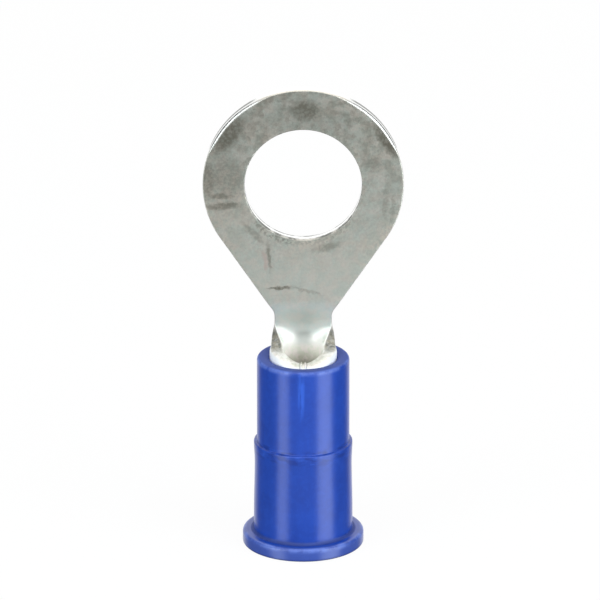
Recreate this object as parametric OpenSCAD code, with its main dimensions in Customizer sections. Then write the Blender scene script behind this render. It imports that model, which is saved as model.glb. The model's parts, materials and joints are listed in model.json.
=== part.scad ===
// Insulated ring terminal of the crimp type, standing on the flange of its sleeve.
// Z runs up the barrel towards the ring, the ring lies across X, and the seam faces -Y.
// The origin is the centre of the flange's lower face.

/* [Ring and neck] */
// Outer diameter of the ring
ring_d = 11.9; // [11:0.1:13]
// Diameter of the stud hole
hole_d = 6.95; // [6.4:0.05:7.4]
// Thickness of the copper strip
strip_t = 0.8; // [0.7:0.05:0.9]
// Height of the ring's centre
ring_z = 22.3; // [21:0.1:25]
// Distance from the barrel's axis back to the near face of the ring
ring_y = 0.75; // [0.5:0.05:1.1]
// Width of the neck
neck_w = 3.4; // [3:0.1:3.8]
// Slope of the ring's shoulders away from the barrel's axis
shoulder_a = 34; // [30:1:40]
// Radius in the corner between shoulder and neck
shoulder_r = 1; // [0.4:0.1:1.4]
// Height at which the strip starts to bend back, to line up with the barrel's back
bend_z = 15; // [14.6:0.1:15.4]
// Length of that bend
bend_h = 1.9; // [1.5:0.1:2.2]

/* [Barrel] */
// Outer diameter of the rolled barrel
barrel_d = 4; // [3.8:0.1:4.2]
// Height of the barrel's rim at the seam
seam_z = 11.65; // [11.5:0.05:11.7]
// Extra height of the rim at the barrel's sides
rim_rise = 0.55; // [0.4:0.05:0.6]
// Length over which the round barrel opens out into the flat neck
root_h = 1.2; // [1:0.05:1.4]
// Length of the barrel along the seam
barrel_h = 6.1; // [5.5:0.1:6.8]
// Depth of the gripping grooves inside the barrel
groove_t = 0.12; // [0.05:0.01:0.2]
// Number of gripping grooves
grooves = 3; // [1:1:4]
// Depth of the groove left along the brazed seam
seam_t = 0.1; // [0.05:0.01:0.2]

/* [Sleeve] */
// Height of the sleeve
sleeve_h = 11.75; // [11.7:0.05:12]
// Diameter of the upper sleeve, round the barrel
upper_d = 5.5; // [5.4:0.02:5.7]
// Diameter of the lower sleeve, round the wire's insulation
lower_d = 5.88; // [5.8:0.02:6.2]
// Height of the step between the two
step_z = 6.45; // [6.3:0.05:7]
// How far the lower sleeve draws in below the step
waist_t = 0.05; // [0:0.01:0.1]
// Diameter of the flange
flange_d = 7.2; // [6.8:0.1:8]
// Thickness of the flange
flange_t = 0.8; // [0.7:0.05:1]
// Bore for the wire's insulation
entry_d = 4.4; // [4.2:0.05:4.6]
// Slope of the funnel that guides the strands
funnel_a = 27; // [24:1:30]

/* [Hidden] */
$fn = 96;

bore_d = barrel_d - 2 * strip_t;
side_z = seam_z + rim_rise;
root_z = side_z + root_h;
heel_z = seam_z - barrel_h;
mid_r = (barrel_d - strip_t) / 2;

// The barrel's wings end in a fillet that rises from the rim to the neck
wing_r = 0.95;
wing_z = side_z + wing_r;

// Flats that make up the bend in the strip, from the ring's plane down to the root
bend_steps = 16;

// The curled root is a little thinner than the barrel's wall, and bites this far into it
root_inset = 0.02;
root_bite = 0.35;
root_rings = 16;
root_steps = 24;

heel_bevel = 0.25;
groove_h = 0.5;
groove_gap = 1.25;

throat_d = bore_d + 0.2;
throat_h = 0.4;
lead_in = 0.25;
flange_round = 0.2;
foot_round = 0.1;
foot_fillet = 0.2;
waist_z = 5.1;
waist_foot = 1.9;
waist_steps = 8;
step_round = 0.12;
top_round = 0.2;
pocket_lead = 0.14;
arc_steps = 8;

// Points along an arc of radius r round c, from angle a to angle b
function arc(c, r, a, b) =
    [for (i = [0:arc_steps]) let (t = a + (b - a) * i / arc_steps) c + r * [cos(t), sin(t)]];

// A share from 0 to 1 that starts and ends level
function ease(u) =
    let (t = min(max(u, 0), 1)) t * t * (3 - 2 * t);

// How far the strip has rolled at height z: 0 where it is flat, 1 where it is the barrel
function roll(z) = ease((root_z - z) / root_h);

// Distance at height z from the barrel's axis back to the near face of the strip
function strip_y(z) =
    ring_y + (barrel_d / 2 - strip_t - ring_y) * ease((bend_z - z) / bend_h);

// Flat outline of the ring, its shoulders and the neck, with X across and Y along
module ring_outline() {
    touch = [cos(shoulder_a), -sin(shoulder_a)] * ring_d / 2 + [0, ring_z];
    corner_z = touch.y - (touch.x - neck_w / 2) / tan(shoulder_a);
    tangent_h = shoulder_r * tan(shoulder_a / 2);
    fillet_c = [neck_w / 2 + shoulder_r, corner_z - tangent_h];
    side = concat([[neck_w / 2, root_z]], arc(fillet_c, shoulder_r, 180, 180 - shoulder_a), [touch]);
    translate([0, ring_z]) circle(d = ring_d);
    polygon(concat(side, [[0, ring_z]], [for (i = [len(side) - 1:-1:0]) [-side[i].x, side[i].y]]));
}

// Side view of the strip, flat behind the ring and bent back at the neck, with Y across and Z along
module strip_side() {
    levels = concat(
        [ring_z + ring_d],
        [for (i = [bend_steps:-1:0]) root_z + (bend_z - root_z) * i / bend_steps]
    );
    polygon(concat(
        [for (z = levels) [strip_y(z), z]],
        [for (i = [len(levels) - 1:-1:0]) [strip_y(levels[i]) + strip_t, levels[i]]]
    ));
}

// Ring and neck: the outline punched from the strip, with the stud hole through it
module ring_plate() {
    difference() {
        intersection() {
            translate([0, barrel_d, 0]) rotate([90, 0, 0]) linear_extrude(2 * barrel_d) ring_outline();
            translate([-ring_d, 0, 0]) rotate([90, 0, 90]) linear_extrude(2 * ring_d) strip_side();
        }
        translate([0, barrel_d, ring_z]) rotate([90, 0, 0]) cylinder(d = hole_d, h = 2 * barrel_d);
    }
}

// Half of the strip's width at height z, measured along its curve
function half_strip(z) =
    z >= wing_z ? neck_w / 2 :
    neck_w / 2 + wing_r - sqrt(wing_r ^ 2 - (wing_z - max(z, side_z)) ^ 2);

// Point of the root at height z, at s of the half width from the middle and n from mid thickness
function root_point(z, s, n) =
    let (
        bend = roll(z) / mid_r,
        along = s * half_strip(z),
        turn = along * bend * 180 / PI,
        back = strip_y(z) + strip_t / 2
    )
    bend == 0 ? [along, back + n, z] :
    [(1 / bend + n) * sin(turn), back - 1 / bend + (1 / bend + n) * cos(turn), z];

// One level section of the root: the outer curve, then the inner one back again
function root_ring(z) =
    let (half_t = strip_t / 2 - root_inset * roll(z))
    concat(
        [for (i = [0:root_steps]) root_point(z, 2 * i / root_steps - 1, half_t)],
        [for (i = [root_steps:-1:0]) root_point(z, 2 * i / root_steps - 1, -half_t)]
    );

// The root, where the round barrel opens out into the flat neck
module root() {
    levels = concat(
        [side_z - root_bite],
        [for (i = [0:root_rings]) side_z + root_h * i / root_rings]
    );
    count = 2 * (root_steps + 1);
    top = count * (len(levels) - 1);
    polyhedron(
        points = [for (z = levels) each root_ring(z)],
        faces = concat(
            [for (i = [0:root_steps - 1]) [count - 1 - i, count - 2 - i, i + 1, i]],
            [for (k = [0:len(levels) - 2]) for (i = [0:count - 1]) for (half = [0, 1])
                let (a = k * count + i, b = k * count + (i + 1) % count)
                half == 0 ? [a, b, b + count] : [a, b + count, a + count]],
            [for (i = [0:root_steps - 1]) [i, i + 1, count - 2 - i, count - 1 - i] + top * [1, 1, 1, 1]]
        ),
        convexity = 6
    );
}

// Rolled barrel, with its rim cut back towards the seam
module barrel() {
    difference() {
        translate([0, 0, heel_z]) cylinder(d = barrel_d, h = side_z - heel_z);
        translate([0, 0, heel_z - 1]) cylinder(d = bore_d, h = side_z - heel_z + 2);
        // Slanting rim
        translate([0, 0, side_z]) rotate([atan2(rim_rise, barrel_d / 2), 0, 0])
            translate([-barrel_d, -barrel_d, 0]) cube([2 * barrel_d, 2 * barrel_d, barrel_d]);
        // Bevel at the heel, where the wire comes in
        translate([0, 0, heel_z - heel_bevel])
            cylinder(r1 = bore_d / 2 + 2 * heel_bevel, r2 = bore_d / 2, h = 2 * heel_bevel);
        // Gripping grooves
        for (i = [0:grooves - 1])
            translate([0, 0, (heel_z + seam_z - groove_h) / 2 + (i - (grooves - 1) / 2) * groove_gap])
                cylinder(d = bore_d + 2 * groove_t, h = groove_h);
        // Groove along the seam
        translate([0, -barrel_d / 2, heel_z - 1]) rotate([0, 0, 45])
            translate([-seam_t, -seam_t, 0] / sqrt(2))
                cube([2 * seam_t / sqrt(2), 2 * seam_t / sqrt(2), side_z - heel_z + 2]);
    }
}

module copper_terminal() {
    color("silver") union() {
        ring_plate();
        root();
        barrel();
    }
}

// Radius of the lower sleeve's wall at height z
function lower_r(z) =
    let (lip_z = step_z - step_round)
    lower_d / 2 - waist_t * ease(z < waist_z ? (z - waist_foot) / (waist_z - waist_foot)
                                             : (lip_z - z) / (lip_z - waist_z));

module vinyl_sleeve() {
    entry_r = entry_d / 2;
    throat_r = throat_d / 2;
    throat_z = heel_z - throat_h;
    funnel_z = throat_z - (entry_r - throat_r) / tan(funnel_a);
    wall_levels = concat(
        [for (i = [0:waist_steps]) waist_foot + (waist_z - waist_foot) * i / waist_steps],
        [for (i = [1:waist_steps - 1]) waist_z + (step_z - step_round - waist_z) * i / waist_steps]
    );
    color("royalblue") rotate_extrude() polygon(concat(
        [[entry_r, lead_in], [entry_r + lead_in, 0]],
        arc([flange_d / 2 - foot_round, foot_round], foot_round, -90, 0),
        arc([flange_d / 2 - flange_round, flange_t - flange_round], flange_round, 0, 90),
        arc([lower_d / 2 + foot_fillet, flange_t + foot_fillet], foot_fillet, 270, 180),
        [for (z = wall_levels) [lower_r(z), z]],
        arc([lower_d / 2 - step_round, step_z - step_round], step_round, 0, 90),
        [[upper_d / 2, step_z]],
        arc([upper_d / 2 - top_round, sleeve_h - top_round], top_round, 0, 90),
        [[barrel_d / 2 + pocket_lead, sleeve_h], [barrel_d / 2, sleeve_h - pocket_lead]],
        [[barrel_d / 2, heel_z], [throat_r, heel_z], [throat_r, throat_z], [entry_r, funnel_z]]
    ));
}

copper_terminal();
vinyl_sleeve();
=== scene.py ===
import json
from math import cos, hypot, pi, radians, sin, sqrt, tan
from types import SimpleNamespace

import bmesh
import bpy
from mathutils import Matrix, Vector


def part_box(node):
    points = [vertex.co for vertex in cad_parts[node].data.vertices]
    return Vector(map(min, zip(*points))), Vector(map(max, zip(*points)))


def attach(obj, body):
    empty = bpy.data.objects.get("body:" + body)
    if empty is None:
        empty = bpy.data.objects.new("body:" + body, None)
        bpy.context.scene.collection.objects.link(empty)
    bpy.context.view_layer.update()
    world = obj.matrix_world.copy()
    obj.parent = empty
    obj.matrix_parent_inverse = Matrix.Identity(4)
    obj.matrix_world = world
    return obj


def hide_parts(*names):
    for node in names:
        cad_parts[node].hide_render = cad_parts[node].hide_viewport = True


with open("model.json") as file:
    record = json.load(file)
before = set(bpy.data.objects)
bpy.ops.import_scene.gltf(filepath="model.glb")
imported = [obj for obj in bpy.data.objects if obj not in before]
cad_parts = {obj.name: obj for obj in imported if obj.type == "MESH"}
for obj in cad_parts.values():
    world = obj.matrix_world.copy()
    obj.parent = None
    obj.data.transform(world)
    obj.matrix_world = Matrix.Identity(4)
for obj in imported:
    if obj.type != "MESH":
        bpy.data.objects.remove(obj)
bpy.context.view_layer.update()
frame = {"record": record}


# --------------------------------------------------------------------------------------------------
# Tinned terminal, blank: 0.8 mm copper strip, punched flat in one piece. It is the ring, its
# shoulders and neck, and two wings that will be rolled up into the barrel. X runs across the blank,
# Z along it and Y through it. The sheet stops short of the cut edges, which come next.

MM = 0.001
MERGE = 1e-4
NEARLY = 1e-3
mounts = {mount["name"]: mount for mount in frame["record"]["mounts"]}
terminal_low, terminal_high = (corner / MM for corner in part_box("copper_terminal"))
STRIP = mounts["stud_hole"]["dims"]["length_mm"]
HOLE_R = mounts["stud_hole"]["dims"]["r_mm"]
RING_R = terminal_high.x
RING_Z = mounts["stud_hole"]["pos_m"][2] / MM
RING_Y = mounts["stud_hole"]["pos_m"][1] / MM
BARREL_R = terminal_high.y - STRIP / 2
HEEL_Z = terminal_low.z
SEAM_S = pi * BARREL_R

HALF_NECK = 1.7
SHOULDER_A = radians(34)
SHOULDER_R = 1.0
BEND_TOP = 15.0
BEND_FOOT = 13.1
WING_R = 0.95
SIDE_Z = 12.2
SEAM_Z = 11.76
ROOT_H = 1.2
ROOT_TOP = SIDE_Z + ROOT_H

# How far the sheet stops short of the cut edges, which the punch rolls over or a tool bevels
ROLL_OVER = 0.2
HOLE_ROLL_OVER = 0.12
HEEL_BEVEL = 0.25

# The barrel's outer rim is worn rounder than the other edges, more so towards the seam
RIM_WEAR = 0.25
RIM_WEAR_W = 0.6

RING_C = Vector((0, 0, RING_Z))
SHOULDER_OUT = Vector((cos(SHOULDER_A), 0, -sin(SHOULDER_A)))
touch = RING_C + RING_R * SHOULDER_OUT
corner_z = touch.z - (touch.x - HALF_NECK) / tan(SHOULDER_A)
SHOULDER_C = Vector((HALF_NECK + SHOULDER_R, 0, corner_z - SHOULDER_R * tan(SHOULDER_A / 2)))
SHOULDER_INSET = SHOULDER_R + ROLL_OVER
SHOULDER_FOOT = SHOULDER_C - SHOULDER_INSET * SHOULDER_OUT
WING_C = Vector((HALF_NECK + WING_R, 0, SIDE_Z + WING_R))
WING_INSET = WING_R + ROLL_OVER
WING_MIDDLE = WING_C - WING_INSET * Vector((sin(pi / 4), 0, sin(pi / 4)))


def spaced(start, end, count):
    """The values from start to end in count equal steps, without the start itself."""
    return [start + (end - start) * i / count for i in range(1, count + 1)]


def eased(value, start, end):
    """A share that grows from 0 at start to 1 at end, and is level at both."""
    share = min(max((value - start) / (end - start), 0), 1)
    return share * share * (3 - 2 * share)


def draw_line(bm, start, end, steps):
    """Draws a line from a vertex to a point, in equal steps, and returns its end and its edges."""
    begin, line = start.co.copy(), []
    for i in range(1, steps + 1):
        point = bm.verts.new(begin.lerp(Vector(end), i / steps))
        line.append(bm.edges.new((start, point)))
        start = point
    return start, line


def pull_row(bm, edges, place):
    """Extrudes a chain of edges, puts each new vertex where place says, and returns the chain."""
    row = bmesh.ops.extrude_edge_only(bm, edges=edges)
    fresh = {v for v in row["geom"] if isinstance(v, bmesh.types.BMVert)}
    for v in fresh:
        v.co = place(v)
    return [e for e in row["geom"]
            if isinstance(e, bmesh.types.BMEdge) and fresh.issuperset(e.verts)]


def half_width(z):
    """Half width of the sheet at height z, from the shoulder to the middle of the wing's fillet."""
    if z > SHOULDER_FOOT.z:
        return SHOULDER_FOOT.x + (z - SHOULDER_FOOT.z) * tan(SHOULDER_A)
    if z > SHOULDER_C.z:
        return SHOULDER_C.x - sqrt(SHOULDER_INSET ** 2 - (z - SHOULDER_C.z) ** 2)
    if z > WING_C.z:
        return HALF_NECK - ROLL_OVER
    return WING_C.x - sqrt(WING_INSET ** 2 - (WING_C.z - z) ** 2)


def rim_wear(s):
    """How much more the barrel's outer rim is rounded, at s from the strip's middle."""
    return RIM_WEAR * eased(s, WING_C.x, WING_C.x + RIM_WEAR_W)


def wing_top(s):
    """Height of the sheet's upper edge over the wing, at s from the strip's middle."""
    if s <= WING_C.x:
        return WING_C.z - sqrt(WING_INSET ** 2 - (WING_C.x - s) ** 2)
    slant = (1 - cos(pi * (s - WING_C.x) / (SEAM_S - WING_C.x))) / 2
    return SIDE_Z - ROLL_OVER - rim_wear(s) - (SIDE_Z - SEAM_Z) * slant


# Half of the ring, from its top down over the shoulder, then across to the middle above the neck
RING_STEPS, SHOULDER_STEPS, NECK_STEPS = 92, 24, 16
blank = bmesh.new()
top = blank.verts.new(RING_C + Vector((0, 0, RING_R - ROLL_OVER)))
ring = bmesh.ops.spin(blank, geom=[top], cent=RING_C, axis=(0, 1, 0), angle=pi / 2 + SHOULDER_A,
                      steps=RING_STEPS)
shoulder = next(v for v in ring["geom_last"] if isinstance(v, bmesh.types.BMVert))
neck_side, _ = draw_line(blank, shoulder, (half_width(BEND_TOP), 0, BEND_TOP), SHOULDER_STEPS)
_, neck_row = draw_line(blank, neck_side, (0, 0, BEND_TOP), NECK_STEPS)
pull_row(blank, blank.edges[:],
         lambda v: RING_C + (v.co - RING_C).normalized() * (HOLE_R + HOLE_ROLL_OVER))

# Neck and root, row by row down to the middle of the fillet over the wing
levels = (spaced(BEND_TOP, SHOULDER_FOOT.z, 5)
          + [SHOULDER_C.z + SHOULDER_INSET * sin(a) for a in spaced(SHOULDER_A, 0, 10)]
          + spaced(SHOULDER_C.z, WING_C.z, 10)
          + [WING_C.z - WING_INSET * sin(a) for a in spaced(0, pi / 4, 14)])
for level in levels:
    neck_row = pull_row(blank, neck_row, lambda v: Vector(
        (v.co.x * half_width(level) / half_width(v.co.z), 0, level)))

# Back of the barrel, from its rim down to the heel, with rows at the gripping grooves' edges
GROOVE_DEPTH = 0.12
GROOVE_H = 0.5
GROOVE_SLOPE = 0.08
GROOVE_GAP = 1.25
GROOVE_MIDDLE = HEEL_Z + 3.05
GROOVE_Z = [GROOVE_MIDDLE + GROOVE_GAP * i for i in (1, 0, -1)]
GROOVE_SIDES = (GROOVE_H / 2 + GROOVE_SLOPE, GROOVE_H / 2,
                -GROOVE_H / 2, -GROOVE_H / 2 - GROOVE_SLOPE)
STRAIGHT_Z = 11.2
rim_levels = [12.27, SIDE_Z, 12.1, 11.95, 11.75, 11.5, STRAIGHT_Z]
groove_levels = [z + side for z in GROOVE_Z for side in GROOVE_SIDES]
heel_levels = [6.4, HEEL_Z + HEEL_BEVEL]
for level in rim_levels + groove_levels + heel_levels:
    neck_row = pull_row(blank, neck_row, lambda v: Vector((v.co.x, 0, level)))


def wing_place(v, s):
    """Place of the next column's vertex beside v: rows gather under the wing's upper edge."""
    if v.co.z <= STRAIGHT_Z + NEARLY:
        return Vector((s, 0, v.co.z))
    share = (v.co.z - STRAIGHT_Z) / (wing_top(v.co.x) - STRAIGHT_Z)
    return Vector((s, 0, STRAIGHT_Z + share * (wing_top(s) - STRAIGHT_Z)))


# Wing, column by column out to the seam, with close columns where the wings are brazed together
CLOSE_FROM = 0.3
CLOSE_COLUMNS = (0.25, 0.2, 0.15, 0.1, 0.0)
columns = ([WING_C.x - WING_INSET * sin(a) for a in spaced(pi / 4, 0, 8)]
           + spaced(WING_C.x, SEAM_S - CLOSE_FROM, 20)
           + [SEAM_S - s for s in CLOSE_COLUMNS])
wing_side = [e for e in blank.edges
             if all(abs(v.co.x - WING_MIDDLE.x) < NEARLY and v.co.z < WING_MIDDLE.z + NEARLY
                    for v in e.verts)]
for s in columns:
    wing_side = pull_row(blank, wing_side, lambda v: wing_place(v, s))

bmesh.ops.mirror(blank, geom=blank.verts[:] + blank.edges[:] + blank.faces[:],
                 matrix=Matrix(), merge_dist=MERGE, axis="X")
bmesh.ops.remove_doubles(blank, verts=blank.verts[:], dist=MERGE)
bmesh.ops.recalc_face_normals(blank, faces=blank.faces[:])


# --------------------------------------------------------------------------------------------------
# Tinned terminal, cut edges: the punch rolls the far face over at each cut edge and breaks through
# at the near face, where the edge stays sharp. Then the wings are rolled into the barrel and brazed
# together along the seam, and the whole is tin plated.

NEAR_EDGE = 0.05
ARC_STEPS = 5

# A flush braze fills the seam, and a fine groove is left on each side of it
BRAZE_W = 0.17
BRAZE_SINK = 0.01
BRAZE_GROOVE_W = 0.24
BRAZE_GROOVE = 0.05

# The ring's near edge is worn on its two upper shoulders, where the terminal is handled. The wear
# grows between two heights above the ring's centre, and between two distances to each side of it.
CORNER_WEAR = 0.15
CORNER_HEIGHTS = (1.8, 2.9)
CORNER_SIDES = (1.6, 3.2)

# The frosted bore fades out towards the neck between these heights
BORE_TOP = 13.2
BORE_FULL = 12.0

outward = blank.verts.layers.float_vector.new("outward")
flat = blank.verts.layers.float_vector.new("flat")
cut = blank.verts.layers.float.new("cut")
bore = blank.verts.layers.float.new("bore")
depth = blank.verts.layers.float.new("depth")


def edge_outward(edge):
    """Direction in the plane of the sheet that points out of it across a boundary edge."""
    along = (edge.verts[1].co - edge.verts[0].co).normalized()
    across = Vector((-along.z, 0, along.x))
    middle = (edge.verts[0].co + edge.verts[1].co) / 2
    inside = edge.link_faces[0].calc_center_median() - middle
    return across if across.dot(inside) < 0 else -across


def seam_distance(p):
    """Distance along the flat strip from a point of the barrel to its seam."""
    return SEAM_S - abs(p.x) if p.z < WING_C.z else SEAM_S


def seam_sink(p):
    """How far the surface sinks beside the seam."""
    if seam_distance(p) > BRAZE_GROOVE_W:
        return 0.0
    return BRAZE_GROOVE if seam_distance(p) > BRAZE_W else BRAZE_SINK


def corner_wear(p):
    """How much more the near edge is rounded at a point of the ring's outer edge."""
    if (p - RING_C).length < (HOLE_R + RING_R) / 2:
        return 0.0
    return (CORNER_WEAR * eased(p.z - RING_Z, *CORNER_HEIGHTS)
            * eased(abs(p.x), *CORNER_SIDES))


def cut_section(inset, roll_over, near_edge):
    """Section of a cut edge, from the far face to the near one, as outset, level and tilt."""
    quarter = [pi / 2 * i / ARC_STEPS for i in range(ARC_STEPS + 1)]
    far = [(inset - roll_over * (1 - sin(a)), STRIP / 2 - roll_over * (1 - cos(a)), a)
           for a in quarter]
    near = [(inset - near_edge * (1 - cos(a)), near_edge * (1 - sin(a)) - STRIP / 2, a + pi / 2)
            for a in quarter]
    return far + near + [(0, -STRIP / 2, pi)]


def dress_edge(edges, inset, roll_over, near_edge):
    """Sweeps a cut edge's section along a chain of the far sheet's boundary edges."""
    for v in {v for e in edges for v in e.verts}:
        sides = [edge_outward(e) for e in v.link_edges if e in edges]
        middle = sum(sides, Vector()).normalized()
        v[outward] = middle / middle.dot(sides[0])
        if seam_distance(v.co) < NEARLY:
            v[outward].x = 0
    chain = list(edges)
    for out, level, tilt in cut_section(inset, roll_over, near_edge):
        def place(v, out=out, level=level):
            """Where the section's next vertex lies; the vertex takes its depth and its cut too."""
            v[cut] = sin(tilt)
            v[depth] = level / STRIP + 0.5
            at_rim = STRAIGHT_Z < v[flat].z < SIDE_Z
            worn = rim_wear(abs(v[flat].x)) if at_rim else 0
            rise = worn * sin(min(tilt, pi / 2))
            drop = worn * (1 - cos(tilt)) if level > 0 else 0
            if level < 0 < out:
                rubbed = corner_wear(v[flat])
                out -= rubbed * (1 - sin(tilt))
                level += rubbed * (1 + cos(tilt))
            sunk = seam_sink(v[flat])
            return (v[flat] + v[outward] * (out + rise - sunk * sin(tilt))
                    + Vector((0, level - drop - sunk * cos(tilt), 0)))
        chain = pull_row(blank, chain, place)


def rolled(p):
    """Where a point of the flat strip lies once the neck is bent back and the barrel is rolled."""
    back = RING_Y + (BARREL_R - RING_Y) * eased(p.z, BEND_TOP, BEND_FOOT)
    share = eased(p.z, ROOT_TOP, SIDE_Z)
    if share == 0:
        return Vector((p.x, back + p.y, p.z))
    radius = BARREL_R / share
    turn = p.x / radius
    return Vector(((radius + p.y) * sin(turn), back - radius + (radius + p.y) * cos(turn), p.z))


for v in blank.verts:
    v[flat] = v.co
near_sheet = bmesh.ops.duplicate(blank, geom=blank.verts[:] + blank.edges[:] + blank.faces[:])
near_sheet = {v for v in near_sheet["geom"] if isinstance(v, bmesh.types.BMVert)}
boundary = {e for e in blank.edges if e.is_boundary and not near_sheet.issuperset(e.verts)}
seam = {e for e in boundary if all(seam_distance(v.co) < NEARLY for v in e.verts)}
heel = {e for e in boundary if all(v.co.z < HEEL_Z + HEEL_BEVEL + NEARLY for v in e.verts)}
hole = {e for e in boundary
        if all((v.co - RING_C).length < HOLE_R + HOLE_ROLL_OVER + NEARLY for v in e.verts)}
for v in blank.verts:
    if v in near_sheet:
        grooved = any(abs(v.co.z - z) < GROOVE_H / 2 + NEARLY for z in GROOVE_Z)
        v.co.y = seam_sink(v.co) - STRIP / 2 + (GROOVE_DEPTH if grooved else 0)
        v[bore] = eased(v.co.z, BORE_TOP, BORE_FULL)
    else:
        v.co.y = STRIP / 2 - seam_sink(v.co)
        v[depth] = 1
dress_edge(hole, HOLE_ROLL_OVER, HOLE_ROLL_OVER, NEAR_EDGE)
dress_edge(heel, HEEL_BEVEL, ROLL_OVER, HEEL_BEVEL)
dress_edge(boundary - seam - heel - hole, ROLL_OVER, ROLL_OVER, NEAR_EDGE)
bmesh.ops.remove_doubles(blank, verts=blank.verts[:], dist=MERGE)
for v in blank.verts:
    v.co = rolled(v.co)
bmesh.ops.remove_doubles(blank, verts=blank.verts[:], dist=NEARLY)
bmesh.ops.recalc_face_normals(blank, faces=blank.faces[:])


def add_piece(name, bm, material, *nodes):
    """Makes a mesh object, in metres, from a bmesh in millimetres, which stands for CAD nodes."""
    bmesh.ops.scale(bm, vec=(MM, MM, MM), verts=bm.verts[:])
    for face in bm.faces:
        face.smooth = True
    mesh = bpy.data.meshes.new(name)
    bm.to_mesh(mesh)
    bm.free()
    mesh.materials.append(material)
    piece = bpy.data.objects.new(name, mesh)
    bpy.context.scene.collection.objects.link(piece)
    flatten = piece.modifiers.new("flat faces", "WEIGHTED_NORMAL")
    flatten.keep_sharp = True
    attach(piece, "root")
    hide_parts(*nodes)
    return piece


def new_material(name):
    """A new material, its nodes and its surface shader."""
    material = bpy.data.materials.new(name)
    material.use_nodes = True
    return material, material.node_tree, material.node_tree.nodes["Principled BSDF"]


def add_node(tree, kind, settings=(), **inputs):
    """Adds a node with its settings; an input is named, or numbered as in _0, and set or linked."""
    node = tree.nodes.new("ShaderNode" + kind)
    for key, value in dict(settings).items():
        setattr(node, key, value)
    for key, value in inputs.items():
        numbered = key[1:].isdigit()
        socket = node.inputs[int(key[1:]) if numbered else key.replace("_", " ")]
        if isinstance(value, bpy.types.NodeSocket):
            tree.links.new(value, socket)
        else:
            socket.default_value = value
    return node


def vector_math(tree, operation, *inputs, output=0, **named):
    """A result of one step of vector arithmetic."""
    numbered = {f"_{i}": value for i, value in enumerate(inputs)}
    node = add_node(tree, "VectorMath", {"operation": operation}, **numbered, **named)
    return node.outputs[output]


def combine(tree, operation, first, *others):
    """Takes values or links in turn: their sum, product or another combination."""
    for other in others:
        first = add_node(tree, "Math", {"operation": operation}, _0=first, _1=other).outputs[0]
    return first


def product(tree, *values):
    """The product of values or links."""
    return combine(tree, "MULTIPLY", *values)


def greatest(tree, *values):
    """The greatest of values or links."""
    return combine(tree, "MAXIMUM", *values)


def absolute(tree, value):
    """A value without its sign."""
    return add_node(tree, "Math", {"operation": "ABSOLUTE"}, _0=value).outputs[0]


def spread(tree, value, low, high, new_low=0.0, new_high=1.0):
    """Maps a value from one range to another, and holds it there."""
    node = add_node(tree, "MapRange", {"interpolation_type": "SMOOTHSTEP"}, Value=value,
                    From_Min=low, From_Max=high, To_Min=new_low, To_Max=new_high)
    return node.outputs["Result"]


def band(tree, value, start, full, fade, end):
    """A share that is 1 from full to fade, and 0 outside start and end."""
    return product(tree, spread(tree, value, start, full), spread(tree, value, fade, end, 1.0, 0.0))


def blend_value(tree, share, first, second):
    """Mixes two values, by a share that is a value or a link."""
    node = add_node(tree, "Mix", {"data_type": "FLOAT"}, _0=share, _2=first, _3=second)
    return node.outputs[0]


def paint(tree, under, share, colour):
    """Lays a colour over another, by a share that is a value or a link."""
    node = add_node(tree, "Mix", {"data_type": "RGBA"}, _0=share, _6=under, _7=colour)
    return node.outputs[2]


def object_place(tree):
    """Place on the object, in millimetres."""
    place = add_node(tree, "TexCoord").outputs["Object"]
    return vector_math(tree, "SCALE", place, Scale=1 / MM)


def stretched(tree, place, scale):
    """A place whose axes are scaled, so that noise there is drawn out along the smaller ones."""
    return add_node(tree, "Mapping", Vector=place, Scale=scale).outputs[0]


def noise(tree, place, size, detail=3.0, roughness=0.5):
    """Noise with features about size millimetres across, from 0 to 1 about a middle of 0.5."""
    node = add_node(tree, "TexNoise", Vector=place, Scale=1 / size, Detail=detail,
                    Roughness=roughness)
    return node.outputs["Fac"]


def spot(tree, place, x, z, half_w, half_h, angle, strength):
    """A soft-edged spot or stroke at x, z, seen from the near side, in millimetres and degrees."""
    local = add_node(tree, "Mapping", {"vector_type": "TEXTURE"}, Vector=place,
                     Location=(x, 0, z), Rotation=(0, radians(-angle), 0),
                     Scale=(half_w, 1 / MM, half_h)).outputs[0]
    distance = vector_math(tree, "LENGTH", local, output="Value")
    return spread(tree, distance, 0.3, 1.0, strength, 0.0)


# Colours of the tin: its faces, its neck and the painted reflection at its bend, then what lies on
# it, with painted shade and reflections among the rest
COOL_TIN = (0.79, 0.825, 0.76, 1)
WARM_TIN = (0.84, 0.82, 0.735, 1)
PATCH_GREY = (0.60, 0.61, 0.54, 1)
GRAIN_GREY = (0.47, 0.48, 0.45, 1)
BEND_REFLECTION_TINT = (0.87, 0.98, 0.97, 1)
NECK_TIN = (0.80, 0.825, 0.765, 1)
PINK_TINT = (0.96, 0.80, 0.66, 1)
GREEN_TINT = (0.58, 0.72, 0.60, 1)
PINK_STAIN = (0.72, 0.52, 0.47, 1)
TARNISH = (0.215, 0.20, 0.155, 1)
TORN_METAL = (0.76, 0.71, 0.64, 1)
BURNISHED_TIN = (0.93, 0.935, 0.92, 1)
FROSTED_TIN = (0.97, 0.955, 0.915, 1)
STRIPE_REFLECTION_GREY = (0.56, 0.60, 0.57, 1)
PINK_FLUX = (1.0, 0.90, 0.84, 1)
GREEN_FLUX = (0.76, 0.78, 0.62, 1)
RIM_REFLECTION_WHITE = (0.92, 0.96, 0.99, 1)
SHADE_AND_SOIL = (0.13, 0.135, 0.12, 1)
RESIDUE_AND_SHADE = (0.46, 0.42, 0.32, 1)

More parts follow.
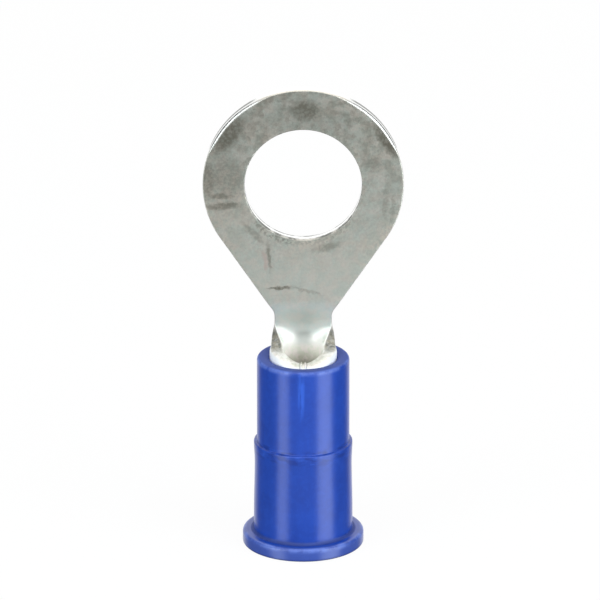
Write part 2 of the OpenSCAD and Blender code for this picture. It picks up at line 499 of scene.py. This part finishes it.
# Spots and strokes of tarnish: x, z, half width, half height, angle and strength
TARNISH_SPOTS = [
    (0.1, 27.0, 1.5, 1.0, 0, 0.85),
    (-4.4, 25.4, 2.2, 0.85, 52, 0.88),
    (4.9, 25.1, 2.0, 0.6, -55, 0.9),
    (-4.5, 22.9, 1.7, 2.1, 0, 0.5),
    (0.0, 26.4, 4.5, 1.5, 0, 0.3),
    (4.1, 23.7, 0.8, 0.6, 0, 0.5),
    (-4.9, 21.6, 1.3, 0.3, 0, 0.7),
    (-4.7, 21.0, 1.5, 0.35, 4, 0.75),
    (-5.6, 22.7, 0.6, 1.8, 0, 0.65),
    (-2.0, 17.7, 0.2, 1.3, 6, 0.6),
    (-1.4, 15.8, 1.1, 0.15, 3, 0.9),
    (0.2, 15.6, 1.6, 0.12, -14, 0.4),
    (1.4, 18.4, 1.2, 0.4, 15, 0.5),
    (4.9, 21.4, 0.3, 1.9, -5, 0.4),
    (5.3, 20.9, 0.2, 1.5, -3, 0.35),
    (-3.0, 19.3, 1.4, 0.3, -45, 0.4),
]
PINK_STROKE = (-2.25, 17.5, 0.2, 0.9, 4, 0.45)


def read_tin(tree):
    """What the tin's patterns follow: place, values on the mesh, shared noise and shared zones."""
    tin = SimpleNamespace(place=object_place(tree))
    across, tin.along, tin.height = add_node(tree, "SeparateXYZ", Vector=tin.place).outputs
    tin.aside = absolute(tree, across)
    tin.from_centre = vector_math(tree, "DISTANCE", tin.place, (0, RING_Y, RING_Z),
                                  output="Value")
    tin.depth, tin.cut, tin.bore = (
        add_node(tree, "Attribute", {"attribute_name": name}).outputs["Fac"]
        for name in ("depth", "cut", "bore"))
    tin.clouds = noise(tree, tin.place, 2.2, 4, 0.6)
    tin.patches = noise(tree, tin.place, 0.7, 4, 0.6)
    tin.grain = noise(tree, tin.place, 0.2, 3, 0.7)

    # Bend of the neck, and the barrel's mouth with its rim and the collar of its outer side
    tin.bend = product(tree, spread(tree, tin.height, 15.1, 14.3),
                       spread(tree, tin.height, 12.4, 12.9))
    tin.rim = product(tree, tin.cut, spread(tree, tin.height, 13.6, 13.3))
    collar = product(tree, spread(tree, tin.along, 0.9, 0.4), spread(tree, tin.height, 12.5, 12.3))
    tin.frosted = greatest(tree, tin.bore, tin.rim, collar)

    # Cut edges that shine: burnished by the punch, or rubbed at the lip and the ring's corners
    lip = product(tree, spread(tree, tin.along, -0.7, -1.3), spread(tree, tin.depth, 0.0, 0.12))
    upper_corner = product(tree, spread(tree, tin.aside, 2.2, 3.0),
                           spread(tree, tin.height, 24.0, 24.8))
    shiny = greatest(tree, spread(tree, tin.depth, 0.1, 0.3), lip, upper_corner)
    tin.burnished = product(tree, tin.cut, shiny)
    return tin


def plated(tree, tin):
    """Colour of the faces: dull tin in clouds, patches and grains, with a pale painted reflection
    at the bend.
    """
    colour = paint(tree, COOL_TIN, spread(tree, tin.clouds, 0.42, 0.62), WARM_TIN)
    colour = paint(tree, colour, spread(tree, tin.patches, 0.35, 0.7, 0.0, 0.4), PATCH_GREY)
    colour = paint(tree, colour, spread(tree, tin.grain, 0.4, 0.6, 0.0, 0.5), GRAIN_GREY)
    # Painted reflection: a pale cyan tint at the bend stands in for the blue sleeve and the light
    # that it reflects
    colour = paint(tree, colour, product(tree, tin.bend, 0.85), BEND_REFLECTION_TINT)
    colour = paint(tree, colour, spread(tree, tin.height, 19.0, 16.5, 0.0, 0.5), NECK_TIN)
    tint = spread(tree, noise(tree, tin.place, 0.5, 5, 0.7), 0.4, 0.6)
    return paint(tree, colour, 0.2, paint(tree, PINK_TINT, tint, GREEN_TINT))


def tarnished(tree, tin, colour):
    """Ragged tarnish on the near face, most of it towards the ring's top and its left side."""
    shake = add_node(tree, "TexNoise", Vector=tin.place, Scale=1 / 0.35, Detail=4.0)
    shake = vector_math(tree, "SUBTRACT", shake.outputs["Color"], (0.5, 0.5, 0.5))
    shake = vector_math(tree, "SCALE", shake, Scale=0.45)
    ragged = vector_math(tree, "ADD", tin.place, shake)
    spots = greatest(tree, *(spot(tree, ragged, *values) for values in TARNISH_SPOTS))
    grime = product(tree, band(tree, tin.from_centre, 3.5, 3.62, 3.75, 4.0),
                    spread(tree, tin.height, 20.5, 19.5),
                    spread(tree, tin.grain, 0.42, 0.58, 0.0, 0.55),
                    spread(tree, tin.clouds, 0.4, 0.6, 1.0, 0.35))
    speckle = product(tree, spread(tree, tin.height, 18.0, 27.0, 0.05, 0.5),
                      spread(tree, tin.patches, 0.4, 0.6, 0.2, 1.0))
    near = spread(tree, tin.depth, 0.0, 0.1, 1.0, 0.0)
    tarnish = product(tree, greatest(tree, spots, grime, speckle),
                      spread(tree, tin.grain, 0.3, 0.6, 0.55, 1.0), near)
    stain = product(tree, spot(tree, ragged, *PINK_STROKE), near)
    return paint(tree, paint(tree, colour, stain, PINK_STAIN), tarnish, TARNISH)


def cut_edges(tree, tin, colour):
    """Cut edges: burnished on the side that the punch came from, torn and duller on the other."""
    torn = product(tree, tin.cut, spread(tree, tin.depth, 0.05, 0.3, 0.8, 0.0))
    return paint(tree, paint(tree, colour, torn, TORN_METAL), tin.burnished, BURNISHED_TIN)


def frosted_mouth(tree, tin, colour):
    """Mouth of the barrel: frosted, with a grey stripe of painted reflection down its back and
    blotches of flux.
    """
    colour = paint(tree, colour, product(tree, tin.frosted, 0.9), FROSTED_TIN)
    # Painted reflection: a grey stripe down the back of the bore, for the dim room in front that it
    # reflects
    stripe = product(tree, spread(tree, tin.bore, 0.0, 0.4),
                     spread(tree, tin.aside, 0.15, 0.75, 0.75, 0.0),
                     spread(tree, tin.height, 12.2, 11.7, 1.0, 0.5))
    colour = paint(tree, colour, stripe, STRIPE_REFLECTION_GREY)
    blotch = spread(tree, noise(tree, tin.place, 0.45, 4, 0.65), 0.42, 0.58)
    low = product(tree, tin.frosted, spread(tree, tin.height, 12.3, 11.8, 0.0, 0.5))
    colour = paint(tree, colour, low, paint(tree, PINK_FLUX, blotch, GREEN_FLUX))
    # Painted reflection: the rim's outer side is painted bluish white, for the light and the blue
    # sleeve that it reflects
    rim_reflection = product(tree, tin.frosted, spread(tree, tin.depth, 0.85, 0.95))
    return paint(tree, colour, rim_reflection, RIM_REFLECTION_WHITE)


def shaded_and_soiled(tree, tin, colour):
    """Painted shade on the root's cut sides, along both edges of the hole and on the ring's far
    edge, and dirt in the seam.
    """
    upright = stretched(tree, tin.place, (1, 1, 0.15))
    # Painted shade: the root's cut sides, in upright streaks, darker towards the outer face
    root_side_shade = product(tree, spread(tree, tin.height, 12.1, 12.25),
                        spread(tree, tin.height, 12.6, 13.4, 1.0, 0.4),
                        spread(tree, tin.height, 13.4, 13.6, 1.0, 0.0),
                        spread(tree, tin.depth, 0.0, 0.2),
                        spread(tree, noise(tree, upright, 0.2), 0.4, 0.6, 0.8, 1.1))
    # Painted shade: dark lines along both edges of the hole's cut face, and over the outer part of
    # the ring's cut edge at its upper shoulders
    hole_bands = greatest(tree, spread(tree, tin.depth, 0.3, 0.45, 1.0, 0.0),
                          spread(tree, tin.depth, 0.65, 0.75))
    hole_edge_shade = product(tree, spread(tree, tin.from_centre, 3.7, 3.9, 1.0, 0.0), hole_bands,
                        spread(tree, tin.patches, 0.4, 0.55, 0.3, 1.0))
    far_edge_shade = product(tree, spread(tree, tin.aside, 2.6, 3.2),
                       spread(tree, tin.height, 24.2, 24.8),
                       spread(tree, tin.depth, 0.22, 0.36), spread(tree, tin.cut, 0.0, 0.4))
    seam_line = product(tree, band(tree, tin.aside, 0.15, 0.18, 0.22, 0.25),
                        spread(tree, tin.along, -1.0, -1.1))
    edges = greatest(tree, product(tree, tin.cut, greatest(tree, root_side_shade, hole_edge_shade)), far_edge_shade)
    shade_and_soil = greatest(tree, product(tree, edges, 0.95), product(tree, seam_line, 0.4))
    return paint(tree, colour, shade_and_soil, SHADE_AND_SOIL)


def crusted_and_shaded(tree, tin, colour):
    """Crumbs of flux residue on the barrel's rim and low in its bore, and painted shade that
    darkens the bore further down.
    """
    crumbs = spread(tree, noise(tree, tin.place, 0.4, 5, 0.7), 0.4, 0.62, 0.0, 0.5)
    low_bore = spread(tree, tin.height, 11.7, 10.9)
    # Crumbs on the rim and low in the bore, and painted shade: the whole bore darkens further down
    residue = greatest(tree, product(tree, crumbs, greatest(tree, tin.rim, low_bore)),
                       product(tree, low_bore, 0.2))
    residue = product(tree, residue, spread(tree, tin.depth, 0.85, 0.95, 1.0, 0.0), tin.frosted)
    return paint(tree, colour, residue, RESIDUE_AND_SHADE)


def tinned_copper():
    """Dull tin, handled and tarnished: cloudy grey faces, and edges burnished by the punch."""
    material, tree, shader = new_material("tinned copper")
    tin = read_tin(tree)
    colour = plated(tree, tin)
    for layer in (tarnished, cut_edges, frosted_mouth, shaded_and_soiled, crusted_and_shaded):
        colour = layer(tree, tin, colour)
    tree.links.new(colour, shader.inputs["Base Color"])
    dull = greatest(tree, product(tree, tin.frosted, 0.8), product(tree, tin.bend, 0.22))
    tree.links.new(combine(tree, "SUBTRACT", 1.0, dull), shader.inputs["Metallic"])
    roughness = spread(tree, tin.grain, 0.3, 0.7, 0.42, 0.54)
    roughness = blend_value(tree, tin.bore, roughness, 0.52)
    roughness = blend_value(tree, tin.burnished, roughness, 0.3)
    tree.links.new(roughness, shader.inputs["Roughness"])
    bump = add_node(tree, "Bump", Height=tin.grain, Distance=0.01 * MM, Strength=0.5)
    tree.links.new(bump.outputs["Normal"], shader.inputs["Normal"])
    return material


terminal = add_piece("tinned_terminal", blank, tinned_copper(), "copper_terminal")


# --------------------------------------------------------------------------------------------------
# Insulating sleeve: a tube of blue vinyl, moulded in one piece and pressed over the barrel. Its
# wider lower half takes the wire's insulation, a funnel inside leads the strands into the barrel,
# and it stands on a flange.

sleeve_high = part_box("vinyl_sleeve")[1] / MM
SLEEVE_H = sleeve_high.z
FLANGE_R = sleeve_high.x
FLANGE_H = 0.8
STEP_Z = 6.45
LOWER_R = 2.94
LIP_R = 2.937
WAIST_R = 2.887
WAIST_Z = 5.1
WAIST_FOOT = 1.9
UPPER_R = 2.75
POCKET_R = BARREL_R + STRIP / 2
POCKET_LEAD = 0.14
THROAT_R = mounts["wire_barrel"]["dims"]["r_mm"] + 0.1
THROAT_Z = HEEL_Z - 0.4
ENTRY_R = mounts["insulation_entry"]["dims"]["r_mm"]
LEAD_IN = 0.25
FUNNEL_Z = LEAD_IN + mounts["insulation_entry"]["dims"]["length_mm"]
SPIN_STEPS = 192
FOOT_ROUND = 0.1
FLANGE_ROUND = 0.2
FLANGE_FILLET = 0.2
LIP_ROUND = 0.09
STEP_FILLET = 0.06
TOP_ROUND = 0.2


def lower_radius(z):
    """Radius of the lower half's wall, which draws in a little under the lip at its top."""
    if z > WAIST_Z:
        return WAIST_R + (LIP_R - WAIST_R) * eased(z, WAIST_Z, STEP_Z)
    return WAIST_R + (LOWER_R - WAIST_R) * eased(z, WAIST_Z, WAIST_FOOT)


outline = ([(ENTRY_R, LEAD_IN), (ENTRY_R + LEAD_IN, 0), (FLANGE_R, 0), (FLANGE_R, FLANGE_H)]
           + [(lower_radius(z), z) for z in [FLANGE_H] + spaced(FLANGE_H, STEP_Z, 24)]
           + [(UPPER_R, STEP_Z), (UPPER_R, SLEEVE_H), (POCKET_R + POCKET_LEAD, SLEEVE_H),
              (POCKET_R, SLEEVE_H - POCKET_LEAD), (POCKET_R, HEEL_Z), (THROAT_R, HEEL_Z),
              (THROAT_R, THROAT_Z), (ENTRY_R, FUNNEL_Z), (ENTRY_R, LEAD_IN)])
sleeve = bmesh.new()
corner = sleeve.verts.new((outline[0][0], 0, outline[0][1]))
for r, z in outline[1:]:
    corner, _ = draw_line(sleeve, corner, (r, 0, z), 1)
bmesh.ops.spin(sleeve, geom=sleeve.verts[:] + sleeve.edges[:], cent=(0, 0, 0), axis=(0, 0, 1),
               angle=2 * pi, steps=SPIN_STEPS, use_merge=True)
bmesh.ops.remove_doubles(sleeve, verts=sleeve.verts[:], dist=MERGE)
bmesh.ops.recalc_face_normals(sleeve, faces=sleeve.faces[:])


def round_corner(bm, r, z, radius, segments=5):
    """Rounds the ring of edges at radius r and height z."""
    ring = [e for e in bm.edges
            if all(abs(hypot(v.co.x, v.co.y) - r) < NEARLY and abs(v.co.z - z) < NEARLY
                   for v in e.verts)]
    bmesh.ops.bevel(bm, geom=ring, offset=radius, offset_type="OFFSET", segments=segments,
                    profile=0.5, affect="EDGES", material=-1)


round_corner(sleeve, FLANGE_R, 0, FOOT_ROUND)
round_corner(sleeve, FLANGE_R, FLANGE_H, FLANGE_ROUND)
round_corner(sleeve, lower_radius(FLANGE_H), FLANGE_H, FLANGE_FILLET)
round_corner(sleeve, lower_radius(STEP_Z), STEP_Z, LIP_ROUND)
round_corner(sleeve, UPPER_R, STEP_Z, STEP_FILLET, 3)
round_corner(sleeve, UPPER_R, SLEEVE_H, TOP_ROUND)

# Colours of the vinyl: its body, its end face and foot, and the painted shade and highlights on its
# crease, edges and step
DEEP_BLUE = (0.007, 0.046, 0.335, 1)
BLUE = (0.008, 0.055, 0.39, 1)
MOTTLE_BLUE = (0.012, 0.075, 0.47, 1)
CREASE_SHADE_NAVY = (0.002, 0.010, 0.075, 1)
END_BLUE = (0.033, 0.070, 0.33, 1)
FOOT_BLUE = (0.045, 0.088, 0.37, 1)
FOOT_SHADE_NAVY = (0.004, 0.014, 0.11, 1)
EDGE_HIGHLIGHT_BLUE = (0.13, 0.22, 0.66, 1)
STEP_SHADE_NAVY = (0.003, 0.018, 0.16, 1)
STEP_HIGHLIGHT_BLUE = (0.03, 0.12, 0.62, 1)
STREAK_HIGHLIGHT_BLUE = (0.05, 0.20, 0.95, 1)

# The painted highlight streak: x, z, half width, half height, angle and strength
HIGHLIGHT_STREAK = (-0.12, 10.3, 0.3, 2.0, 0, 0.3)


def blue_vinyl():
    """Blue vinyl with a satin shine, a little uneven from the mould, and painted shade in its
    corner.
    """
    material, tree, shader = new_material("blue vinyl")
    place = object_place(tree)
    across, along, height = add_node(tree, "SeparateXYZ", Vector=place).outputs
    flat_place = add_node(tree, "CombineXYZ", X=across, Y=along).outputs[0]
    radius = vector_math(tree, "LENGTH", flat_place, output="Value")
    flow = noise(tree, place, 1.6, 2, 0.5)
    mottle = noise(tree, place, 0.3, 3, 0.6)
    rubbed = noise(tree, place, 0.9, 4, 0.6)
    streak = noise(tree, stretched(tree, place, (0.3, 0.3, 1)), 0.3, 4, 0.6)
    smear = noise(tree, stretched(tree, place, (1, 1, 0.12)), 0.22, 3, 0.6)
    colour = paint(tree, DEEP_BLUE, spread(tree, flow, 0.3, 0.7), BLUE)
    colour = paint(tree, colour, spread(tree, mottle, 0.4, 0.7, 0.0, 0.3), MOTTLE_BLUE)
    # Painted shade in the crease between the lower wall and the flange
    corner = product(tree, band(tree, height, FLANGE_H - 0.2, FLANGE_H - 0.1,
                                FLANGE_H + 0.05, FLANGE_H + 0.3),
                     spread(tree, radius, LOWER_R + 0.1, LOWER_R + 0.25, 1.0, 0.0))
    colour = paint(tree, colour, product(tree, corner, 0.55), CREASE_SHADE_NAVY)

    # End face and foot: greyer, with painted shade along the foot's bottom edge and painted
    # highlights in patches along the upper edges of the end and the flange
    end_face = spread(tree, height, SLEEVE_H - 0.1, SLEEVE_H - 0.03)
    colour = paint(tree, colour, end_face, END_BLUE)
    foot = spread(tree, radius, LOWER_R + 0.3, LOWER_R + 0.5)
    colour = paint(tree, colour, product(tree, foot, 0.8), FOOT_BLUE)
    # Painted shade: the flange darkens towards its bottom edge at the floor
    foot_bottom_shade = product(tree, spread(tree, height, 0.0, 0.2, 0.6, 0.0), foot)
    colour = paint(tree, colour, foot_bottom_shade, FOOT_SHADE_NAVY)
    # Painted highlights, in patches, along the rounded upper edges of the end and of the flange
    top_edge = product(tree, spread(tree, height, SLEEVE_H - 0.35, SLEEVE_H - 0.1),
                       spread(tree, radius, UPPER_R - 0.2, UPPER_R - 0.05))
    flange_edge = product(tree, spread(tree, radius, FLANGE_R - 0.3, FLANGE_R - 0.1),
                          spread(tree, height, FLANGE_H - 0.35, FLANGE_H - 0.12))
    edge = product(tree, greatest(tree, top_edge, flange_edge),
                   spread(tree, rubbed, 0.38, 0.62, 0.0, 0.6))
    colour = paint(tree, colour, edge, EDGE_HIGHLIGHT_BLUE)

    # Step: streaks of painted shade and painted highlight round it, and one upright painted
    # highlight streak above it on the near side
    step = band(tree, height, STEP_Z - 0.9, STEP_Z - 0.3, STEP_Z + 0.1, STEP_Z + 0.4)
    dark = product(tree, step, spread(tree, streak, 0.5, 0.62, 0.0, 0.5))
    colour = paint(tree, colour, dark, STEP_SHADE_NAVY)
    light = product(tree, step, spread(tree, streak, 0.46, 0.36, 0.0, 0.4))
    colour = paint(tree, colour, light, STEP_HIGHLIGHT_BLUE)
    highlight_streak = product(tree, spot(tree, place, *HIGHLIGHT_STREAK), spread(tree, along, -2.4, -2.5),
                    spread(tree, smear, 0.42, 0.58, 0.1, 1.0))
    colour = paint(tree, colour, highlight_streak, STREAK_HIGHLIGHT_BLUE)
    tree.links.new(colour, shader.inputs["Base Color"])

    shader.inputs["Specular IOR Level"].default_value = 0.6
    roughness = spread(tree, height, SLEEVE_H - 0.12, SLEEVE_H, 0.30, 0.65)
    roughness = combine(tree, "ADD", roughness, spread(tree, corner, 0.0, 1.0, 0.0, 0.3))
    tree.links.new(roughness, shader.inputs["Roughness"])
    bump = add_node(tree, "Bump", Height=flow, Distance=0.02 * MM, Strength=0.4)
    tree.links.new(bump.outputs["Normal"], shader.inputs["Normal"])
    return material


moulded_sleeve = add_piece("moulded_sleeve", sleeve, blue_vinyl(), "vinyl_sleeve")


# --------------------------------------------------------------------------------------------------
# Studio floor: plain and white, a hair below the foot so that the two surfaces don't fight. The
# camera sees it nearly white with a faint shadow. Reflections look through it, apart from a patch
# in front of the foot that glows for reflections alone.

FLOOR_HALF = 2.0
FLOOR_DROP = 0.02 * MM
FLOOR_GREY = (0.42, 0.42, 0.42, 1)
FLOOR_WHITE = 1.11
SHADOWLESS = 0.85
PATCH_CENTRE = (0.006, -0.036, 0)

floor_sheet = bmesh.new()
bmesh.ops.create_grid(floor_sheet, x_segments=1, y_segments=1, size=FLOOR_HALF,
                      matrix=Matrix.Translation((0, 0, -FLOOR_DROP)))
mesh = bpy.data.meshes.new("floor")
floor_sheet.to_mesh(mesh)
floor_sheet.free()
floor = bpy.data.objects.new("floor", mesh)
bpy.context.scene.collection.objects.link(floor)
floor_material, tree, shader = new_material("white floor")
mesh.materials.append(floor_material)
shader.inputs["Base Color"].default_value = FLOOR_GREY
shader.inputs["Roughness"].default_value = 0.9
rays = add_node(tree, "LightPath").outputs
white = add_node(tree, "Emission", Strength=FLOOR_WHITE).outputs[0]
surface = add_node(tree, "MixShader", _0=product(tree, rays["Is Camera Ray"], SHADOWLESS),
                   _1=shader.outputs[0], _2=white).outputs[0]
place = add_node(tree, "TexCoord").outputs["Object"]
from_patch = vector_math(tree, "DISTANCE", place, PATCH_CENTRE, output="Value")
patch = add_node(tree, "Emission", Strength=spread(tree, from_patch, 0.006, 0.042, 0.55, 0.0))
clear = add_node(tree, "BsdfTransparent").outputs[0]
reflected = add_node(tree, "AddShader", _0=patch.outputs[0], _1=clear).outputs[0]
surface = add_node(tree, "MixShader", _0=rays["Is Glossy Ray"], _1=surface, _2=reflected)
tree.links.new(surface.outputs[0], tree.nodes["Material Output"].inputs["Surface"])


# --------------------------------------------------------------------------------------------------
# Studio room and lamps: a white room to the camera, which lights the object most from the front.
# Reflections find it bright behind and above the object, and dim in front, where the lamps show as
# two upright soft boxes.

world = bpy.data.worlds.new("room")
bpy.context.scene.world = world
world.use_nodes = True
tree = world.node_tree
room = tree.nodes["Background"]
rays = add_node(tree, "LightPath").outputs
towards = add_node(tree, "TexCoord").outputs["Generated"]
side, back, up = add_node(tree, "SeparateXYZ", Vector=towards).outputs
behind = spread(tree, back, 0.55, 0.9, 0.0, 1.12)
above = product(tree, spread(tree, up, 0.3, 0.8, 0.0, 1.5),
                spread(tree, absolute(tree, side), 0.4, 0.7, 1.0, 0.0))
in_front = spread(tree, back, -0.35, -0.8, 0.12, 0.14)
reflected = combine(tree, "ADD", greatest(tree, behind, above), in_front)
lighting = spread(tree, back, 0.4, -0.6, 0.2, 1.2)
mirrored = greatest(tree, rays["Is Glossy Ray"], rays["Is Transmission Ray"])
strength = blend_value(tree, mirrored, lighting, reflected)
strength = blend_value(tree, rays["Is Camera Ray"], strength, 1.0)
tree.links.new(strength, room.inputs["Strength"])
room.inputs["Color"].default_value = (1, 1, 1, 1)

LAMP_COLOUR = (0.92, 1.0, 1.05)
LAMP_DISTANCE = 0.25
LAMP_HEIGHT = 0.4
LAMP_AIM = Vector((0, 0, 0.012))


def aim(thing, position, target):
    """Puts a lamp or the camera at a position, looking at a target."""
    thing.location = position
    thing.rotation_euler = (target - position).to_track_quat("-Z", "Y").to_euler()
    bpy.context.scene.collection.objects.link(thing)


def soft_light(name, azimuth, width, radiance):
    """An upright soft box, level with the object, at an azimuth to the right of the camera's."""
    lamp = bpy.data.lights.new(name, "AREA")
    lamp.shape = "RECTANGLE"
    lamp.size, lamp.size_y = width, LAMP_HEIGHT
    lamp.color = LAMP_COLOUR
    lamp.energy = radiance * pi * width * LAMP_HEIGHT
    offset = LAMP_DISTANCE * Vector((sin(azimuth), -cos(azimuth), 0))
    aim(bpy.data.objects.new(name, lamp), LAMP_AIM + offset, LAMP_AIM)


soft_light("left_light", radians(-49), 0.12, 3.4)
soft_light("right_light", radians(54), 0.17, 3.6)


# --------------------------------------------------------------------------------------------------
# Camera: a long lens that looks down a little at the near face of the ring and the seam, with the
# whole terminal upright in the middle of the view.

CAMERA_ELEVATION = radians(21)
CAMERA_DISTANCE = 0.8
VIEW_WIDTH = 0.03557
VIEW_MIDDLE = Vector((-0.00019, 0, 0.01532))
camera_data = bpy.data.cameras.new("camera")
camera_data.lens = camera_data.sensor_width * CAMERA_DISTANCE / VIEW_WIDTH
camera_data.clip_start, camera_data.clip_end = 0.01, 10
camera = bpy.data.objects.new("camera", camera_data)
camera_offset = CAMERA_DISTANCE * Vector((0, -cos(CAMERA_ELEVATION), sin(CAMERA_ELEVATION)))
aim(camera, VIEW_MIDDLE + camera_offset, VIEW_MIDDLE)
bpy.context.scene.camera = camera
bpy.context.scene.view_settings.view_transform = "Standard"
